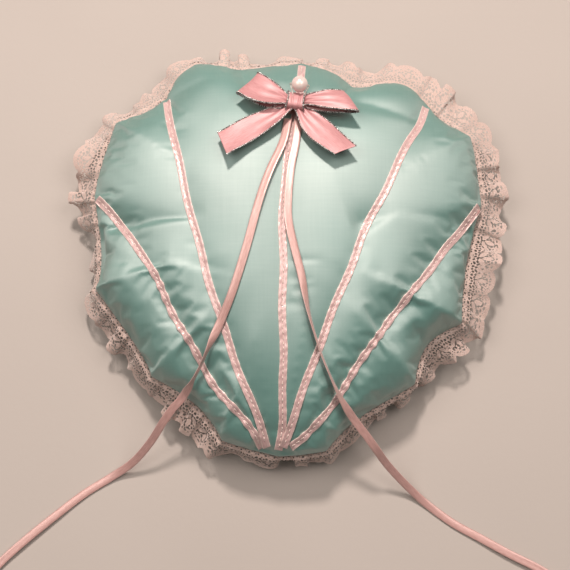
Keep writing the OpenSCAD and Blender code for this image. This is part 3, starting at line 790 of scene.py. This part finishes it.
# Points along each tail: x and y on the front, and also z once it has left the front
ring_routes = {
    "left": [(0, 50), (-2, 40), (-7, 28), (-11, 16), (-16, -3), (-21, -19), (-26, -31), (-32, -44),
             (-36, -51), (-41, -58), (-45, -62), (-49, -67, 18), (-54.5, -74.5, 11), (-62, -82, 4),
             (-71.5, -88, 1), (-82, -94.5, 1), (-93, -103, 1), (-104, -112, 1), (-114, -121, 1),
             (-122, -130, 1), (-131, -138, 1)],
    "right": [(4, 50), (3, 40), (1, 29), (0, 18), (0, 9), (2, -1), (5, -13), (8, -28), (12, -41), (16, -51),
              (20, -59), (25, -66), (30, -72, 21), (34, -77, 18), (39, -83, 8), (46, -90, 2), (55, -98, 1),
              (66, -106, 1), (77, -112, 1), (88, -118, 1), (100, -124, 1), (115, -133, 1)]}
# Turns on edge: how far along each is centred, how far it reaches to both sides, and how many degrees
ring_turns = {"left": [(106, 13, 78), (20, 26, -14), (150, 20, 14)],
              "right": [(96, 24, 74), (60, 20, 16), (165, 22, -16)]}
ring_section = [(-1, 0), (-0.9, 0.5), (-0.45, 0.6), (0, 0.64), (0.45, 0.6), (0.9, 0.5), (1, 0), (0.9, -0.5),
                (0, -0.36), (-0.9, -0.5)]
ring_sides = len(ring_section)
steepest_down, steepest_up = 0.55, 0.8
# Its painted edge highlight starts 1.45 mm out, so only the last 0.15 mm of each edge is faintly paler
ring_satin = new_ribbon("pale_pink_loose_satin_ribbon", "#bc918b", "#cfa7a1", ring_wide / 2 + 0.2, 0.34, 0.12)
ruffle_tree = BVHTree.FromObject(ruffle, bpy.context.evaluated_depsgraph_get())


def height_below(points):
    """Height of the cover or the ruffle under a ribbon's width at each point, or of the table, in mm."""
    found = []
    aside = (-1.1, 0, 1.1)
    for x, y in points[:, :2]:
        starts = [Vector(((x + dx) / 1000, (y + dy) / 1000, 0.2)) for dx in aside for dy in aside]
        hits = [surface.ray_cast(start, Vector((0, 0, -1)))[0] for start in starts
                for surface in (cover_tree, ruffle_tree)]
        found.append(max([hit.z * 1000 for hit in hits if hit] + [0]))
    return np.array(found)


for name, route in ring_routes.items():
    on_front = [p for p in route if len(p) == 2]
    bed = cover_height(on_front)
    lifted = [(x, y, z + 1.1) for (x, y), z in zip(on_front, bed)] + [p for p in route if len(p) == 3]
    line = smooth_route(lifted, 1.0)
    along = length_along(line)
    on_edge = np.zeros(len(line))
    for middle_at, reach, degrees in ring_turns[name]:
        on_edge += math.radians(degrees) * np.exp(-((along - middle_at) / reach) ** 4)
    on_table = np.clip((along - along[-1] + 85) / 15, 0, 1)
    ripple = 0.5 + 0.5 * np.sin(along / 11.0 + (name == "left"))
    rests_at = np.maximum(height_below(line), on_table * ripple)
    rests_at += 0.75 + ring_wide / 2 * np.abs(np.sin(on_edge))
    line[:, 2] = np.maximum(rests_at, np.where(on_table > 0, 0, line[:, 2] - 1.0))
    # The points are 1 mm apart. The tail hangs down and climbs no steeper than this, and bends smoothly
    # over what it rests on
    for step in range(1, len(line)):
        line[step, 2] = max(line[step, 2], line[step - 1, 2] - steepest_down)
        line[-step - 1, 2] = max(line[-step - 1, 2], line[-step, 2] - steepest_up)
    for _ in range(40):
        line[1:-1, 2] = np.maximum((line[:-2, 2] + 2 * line[1:-1, 2] + line[2:, 2]) / 4, rests_at[1:-1])
    along = length_along(line)
    heading = unit(np.gradient(line, axis=0))
    side = unit(np.cross(heading, (0, 0, 1)))
    up = np.cross(side, heading)
    wide_way = side * np.cos(on_edge)[:, None] + up * np.sin(on_edge)[:, None]
    thick_way = up * np.cos(on_edge)[:, None] - side * np.sin(on_edge)[:, None]
    cup = 0.16 * np.sin(along / 17.0)
    points, uv = [], []
    for across, rise in ring_section:
        slant = (0.5 * across * np.clip((along - along[-1] + 1.5), 0, 1))[:, None] * heading
        points.append(line + wide_way * across * ring_wide / 2 + slant
                      + thick_way * (rise * ring_thick + cup * across ** 2)[:, None])
        uv.append(np.column_stack([along, np.full(len(along), across * ring_wide / 2)]))
    faces = grid_faces(len(line), ring_sides, closed=True) + end_faces(len(line), ring_sides)
    tail = mesh_object("ring_ribbon_tail_" + name, side_by_side(points) / 1000, faces, ring_satin,
                       uv=side_by_side(uv))
    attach(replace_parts(tail, "ring_ribbon_" + name), "pillow")

# ---------------------------------------------------------------------------------------------
# Bow: a bought bow of 9.5 mm deep pink satin ribbon with a twisted silver thread along each edge. Two loops
# and two tails are gathered at the middle and held by a wrapped knot, and it turns a little on its shank.

swivel = next(j for j in frame["joints"] if j["name"] == "bow_swivel")
bow_up = np.array(swivel["axis"], float)
bow_foot = np.array(swivel["pos_m"], float) * 1000
bow_across = np.array([0, bow_up[2], -bow_up[1]])
bow_wide, bow_height = 9.5, 3.2
knot_turn = math.radians(-8)


def on_bow(points, turn=0.0):
    """From the bow's own plane, in millimetres from the middle of its underside, to the pillow's."""
    x, y, z = np.asarray(points, float).reshape(-1, 3).T
    x, y = x * math.cos(turn) - y * math.sin(turn), x * math.sin(turn) + y * math.cos(turn)
    return bow_foot + np.outer(x, (1, 0, 0)) + np.outer(y, bow_across) + np.outer(z + bow_height, bow_up)


# No painted edge highlight shows, as the silver thread covers the edge
bow_satin = new_ribbon("deep_pink_satin_ribbon", "#bb7f81", "#ca9496", bow_wide, 0.46, 0.12)

# Silver thread: metallised film wound round a core, bright and grey; its plies cross every 0.8 mm. Its colour
# is a painted speckle of bright glints and dark brownish shade, at random
silver, tree, shader = new_material("twisted_metallised_thread", Metallic=1.0, Roughness=0.28)
wrap = noise(tree, add(tree, "TexCoord").outputs["Object"], 1600.0)
# Painted glints and painted shade: bright silver spots and dark brownish ones in random noise
glint_and_shade_speckle = mixed(tree, ranged(tree, wrap, 0.4, 0.6), "#645a5a", "#f2f3f1")
finish_surface(tree, shader, glint_and_shade_speckle, wrap, 0.5, 0.0001)


def twisted(route, radius=0.21, lay=1.5):
    """Two plies of thread wound round each other along a route."""
    steps = 8
    route = smooth_route(route, lay / steps)
    heading = unit(np.gradient(route, axis=0))
    side = unit(np.cross(heading, bow_up))
    up = np.cross(side, heading)
    plies = []
    for ply in (0, np.pi):
        turn = (2 * np.pi * np.arange(len(route)) / steps + ply)[:, None]
        plies.append(tube(route + radius * (side * np.cos(turn) + up * np.sin(turn)), radius, 5))
    return joined(plies)


# Each row: the ribbon's middle x, y, height, then half of its width as x, y, from the knot outwards. Loops
# come back to it. The left loop's front is drawn up to 12 mm wide, for the outline that two fanned layers make.
width_count = 25
bow_rows = {
    "loop_left": [(-2.6, 0.4, 2.7, 0, 2.0), (-4.4, 1.2, 3.3, 0.3, 2.6), (-7.4, 1.9, 4.2, 0.9, 4.1),
                  (-11.4, 3.0, 4.9, 2.2, 5.3), (-15.4, 5.3, 4.7, 3.4, 5.2), (-18.2, 7.8, 4.0, 4.0, 4.5),
                  (-18.9, 8.4, 3.0, 4.3, 4.4), (-18.0, 7.8, 2.0, 3.9, 4.3), (-15.0, 6.3, 1.3, 3.0, 4.3),
                  (-11.0, 3.6, 1.0, 2.0, 4.4), (-7.0, 1.4, 1.1, 0.9, 3.5), (-4.2, 0.5, 1.4, 0.3, 2.4),
                  (-2.6, 0.2, 1.7, 0, 1.9)],
    "loop_right": [(3.0, 0.1, 2.7, 0, 1.9), (5.0, 0.4, 3.4, -0.2, 2.5), (8.6, 0.1, 4.1, -0.5, 3.3),
                   (13.2, -0.1, 4.6, -0.9, 4.2), (18.0, -0.3, 4.4, -1.9, 4.7), (21.0, -0.3, 3.9, -2.5, 4.9),
                   (21.8, -0.3, 3.0, -2.6, 4.9), (20.6, -0.1, 2.0, -2.4, 4.7), (17.2, 0.0, 1.2, -1.8, 4.3),
                   (12.6, -0.1, 0.9, -1.0, 4.0), (8.0, -0.2, 1.0, -0.4, 3.1), (5.0, -0.2, 1.4, -0.2, 2.4),
                   (3.0, 0.0, 1.7, 0, 1.8)],
    "tail_left": [(-2.0, -1.0, 1.5, -0.7, 1.5), (-4.2, -2.2, 1.3, -1.0, 2.2), (-8.3, -5.0, 0.7, -1.7, 3.4),
                  (-14.5, -9.1, 0.4, -2.3, 4.3), (-21.5, -13.8, 0.4, -2.2, 4.8),
                  (-28.3, -18.6, 0.7, -1.9, 5.2)],
    "tail_right": [(1.0, -1.6, 1.5, 1.6, 0.7), (2.6, -3.4, 1.3, 2.2, 1.5), (5.0, -6.7, 0.7, 3.2, 2.8),
                   (9.4, -12.0, 0.5, 4.0, 3.4), (14.2, -17.2, 0.8, 4.3, 2.7), (18.9, -22.0, 1.4, 4.1, 1.7)]}
for name, marks in bow_rows.items():
    rows = smooth_route(marks, 0.45)
    middle_line, half_way_out = rows[:, :3], np.column_stack([rows[:, 3:5], np.zeros(len(rows))])
    along = length_along(middle_line)
    from_knot = np.minimum(along, along[-1] - along) if "loop" in name else along
    gathered = np.exp(-from_knot / 5.5)
    face_way = unit(np.cross(half_way_out, np.gradient(middle_line, axis=0)))
    points, uv = [], []
    for across in np.linspace(-1, 1, width_count):
        pleats = gathered * 0.55 * np.cos(across * 8.2 + 0.6) * (1 - 0.3 * across ** 2)
        soft = 0.35 * (1 - gathered) * (across ** 2 - 0.35) * (1 + 0.5 * np.sin(along / 6.0))
        flutter = 0.28 * across ** 2 * np.sin(along / 3.1 + across * 1.5) * (1 - gathered)
        points.append(middle_line + half_way_out * across + face_way * (pleats + soft + flutter)[:, None])
        uv.append(np.column_stack([along, np.full(len(along), across * bow_wide / 2)]))
    ribbon = mesh_object("bow_ribbon_" + name, on_bow(side_by_side(points)) / 1000,
                         grid_faces(len(rows), width_count), bow_satin, uv=side_by_side(uv))
    thick = ribbon.modifiers.new("cloth_thickness", "SOLIDIFY")
    thick.thickness, thick.offset = 0.00026, 0
    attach(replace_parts(ribbon, "bow_" + name), "bow")
    edge_points, edge_faces = joined([twisted(on_bow(edge)) for edge in (points[0], points[-1])])
    edging = mesh_object("silver_edging_" + name, edge_points / 1000, edge_faces, silver)
    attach(edging, "bow")

# The knot: the same ribbon wrapped once round the gathered middle and drawn into three creases
knot_w, knot_h, knot_t = 7.4, 7.6, 4.6
knot_off = 0.4
around_count, side_count = 72, 33
knot_points, knot_uv, knot_edges = [], [], {2: [], side_count - 3: []}
for step in range(side_count):
    across = -1 + 2 * step / (side_count - 1)
    waist = 1 - 0.10 * (1 - across ** 2) + 0.03 * np.cos(across * 3)
    turned_in = 0.55 if step in (0, side_count - 1) else (0.86 if step in (1, side_count - 2) else 1.0)
    for turn in 2 * np.pi * np.arange(around_count) / around_count:
        crease = 0.30 * np.exp(-((across - 0.32 - 0.10 * math.sin(turn)) / 0.11) ** 2) \
            + 0.26 * np.exp(-((across + 0.38 + 0.12 * math.cos(turn)) / 0.12) ** 2) \
            + 0.12 * np.exp(-((across + 0.02) / 0.09) ** 2)
        y = np.sign(math.cos(turn)) * abs(math.cos(turn)) ** 0.72 * (knot_h / 2 * waist - crease) * turned_in
        z = np.sign(math.sin(turn)) * abs(math.sin(turn)) ** 0.72 * (knot_t / 2 * waist - crease) * turned_in
        bow_out = 0.25 * math.cos(turn * 2) * across
        x = across * knot_w / 2 * (0.93 if turned_in < 1 else 1) + bow_out
        knot_points.append((x, y + knot_off, z + knot_t / 2))
        knot_uv.append((turn * 3.4, across * bow_wide / 2))
        if step in knot_edges:
            knot_edges[step].append((x, y * 1.02 + knot_off, z * 1.03 + knot_t / 2))
knot = mesh_object("bow_knot_wrapped", on_bow(knot_points, knot_turn) / 1000,
                   grid_faces(side_count, around_count, closed=True), bow_satin, uv=knot_uv)
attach(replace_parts(knot, "bow_knot"), "bow")
edges = [on_bow(edge + edge[:1], knot_turn) for edge in knot_edges.values()]
edge_points, edge_faces = joined([twisted(edge) for edge in edges])
edging = mesh_object("silver_edging_knot", edge_points / 1000, edge_faces, silver)
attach(edging, "bow")

# Under the bow, the ring ribbon's middle is folded on itself and tied: two crossed turns of the ribbon
tie_steps, tie_wide = 49, 7
tie_parts = []
for turned, low, long in ((0.35, 1.15, 7.4), (-0.9, 1.6, 6.0)):
    tie = []
    for turn in np.linspace(0, 2 * np.pi, tie_steps):
        x = np.sign(math.cos(turn)) * abs(math.cos(turn)) ** 0.5 * long / 2
        z = low + 0.26 * np.sign(math.sin(turn)) * abs(math.sin(turn)) ** 0.6
        for across in np.linspace(-1, 1, tie_wide):
            y = across * ring_wide / 2 * (1 - 0.12 * math.cos(turn) ** 2)
            tie.append((x * math.cos(turned) - y * math.sin(turned),
                        x * math.sin(turned) + y * math.cos(turned),
                        z + 0.08 * math.cos(across * 5 + turn) - bow_height))
    tie_parts.append((on_bow(tie), grid_faces(tie_steps, tie_wide)))
tie_points, tie_faces = joined(tie_parts)
tie_uv = [(0.3 * (n // tie_wide), 0.5 * (n % tie_wide - tie_wide // 2)) for n in range(len(tie_points))]
tied = mesh_object("ring_ribbon_tie", tie_points / 1000, tie_faces, ring_satin, uv=tie_uv)
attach(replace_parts(tied, "ring_ribbon_knot"), "pillow")

# ---------------------------------------------------------------------------------------------
# Pearl: a 6.4 mm imitation pearl, a moulded bead dipped in pearl lacquer, threaded and sewn to the upper
# edge of the knot so that it turns on its thread.

spin = next(j for j in frame["joints"] if j["name"] == "pearl_spin")
bead_axis = np.array(spin["axis"], float)
bead_at = np.array(spin["pos_m"], float) * 1000
bead_side = unit(np.cross(bead_axis, bow_up))
bead_front = np.cross(bead_side, bead_axis)
bead_r, bore_r, bead_sides = 3.2, 0.45, 64
# Profile along the bead's axis: up out of the bore, over its worn rim, round the bead and down the other end
profile = [(-2.4, bore_r), (-2.9, bore_r), (-3.1, bore_r + 0.05), (-3.13, bore_r + 0.22)]
first, last = math.asin(0.72 / bead_r), math.pi - math.asin(0.72 / bead_r)
profile += [(-bead_r * math.cos(a), bead_r * math.sin(a)) for a in np.linspace(first, last, 40)]
profile += [(-x, r) for x, r in profile[3::-1]]
bead_points = [bead_at + bead_axis * x + r * (bead_side * math.cos(a) + bead_front * math.sin(a))
               for x, r in profile for a in 2 * np.pi * np.arange(bead_sides) / bead_sides]
bead_faces = [face[:1] + face[:0:-1] for face in grid_faces(len(profile), bead_sides, closed=True)]
# Pearl lacquer: mica in clear lacquer over white, milky under a hard gloss, faintly pink and cream in places
lacquer, tree, shader = new_material("pearl_lacquered_bead", Roughness=0.30, IOR=1.53, Metallic=0.12,
                                     Coat_Weight=0.9, Coat_Roughness=0.06, Subsurface_Weight=0.2,
                                     Sheen_Weight=0.2)
shader.inputs["Subsurface Radius"].default_value = (0.0015, 0.0012, 0.001)
place = add(tree, "TexCoord").outputs["Object"]
mica = ranged(tree, noise(tree, place, 260.0, 3.0, 1.0), 0.35, 0.65)
dips = noise(tree, place, 900.0)
finish_surface(tree, shader, mixed(tree, mica, "#e9cbc8", "#ecdcd6"), dips, 0.12, 0.00005)
bead = mesh_object("pearl_bead_lacquered", np.array(bead_points) / 1000, bead_faces, lacquer)
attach(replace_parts(bead, "pearl_bead"), "pearl")

# Its thread runs through the bore and down to the knot on each side, and each end is stitched into the knot
knot_top = on_bow([(-1.6, 2.4, 4.2), (3.0, 2.4, 4.2), (-1.3, 1.2, 4.0), (2.7, 1.2, 4.0)], knot_turn)
out_of_bore = bead_axis * (bead_r + 0.15)
left_out, right_out = bead_at - out_of_bore, bead_at + out_of_bore
through = [knot_top[2], knot_top[0] + bow_up * 0.5, left_out - bead_axis * 0.25 - bow_up * 0.9, left_out,
           bead_at - bead_axis, bead_at + bead_axis, right_out, right_out + bead_axis * 0.25 - bow_up * 0.9,
           knot_top[1] + bow_up * 0.5, knot_top[3]]
thread_points, thread_faces = joined([tube(smooth_route(through, 0.3), 0.17, 8)])
sewing = mesh_object("pearl_sewing_thread", thread_points / 1000, thread_faces, white_thread)
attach(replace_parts(sewing, "pearl_thread"), "bow")
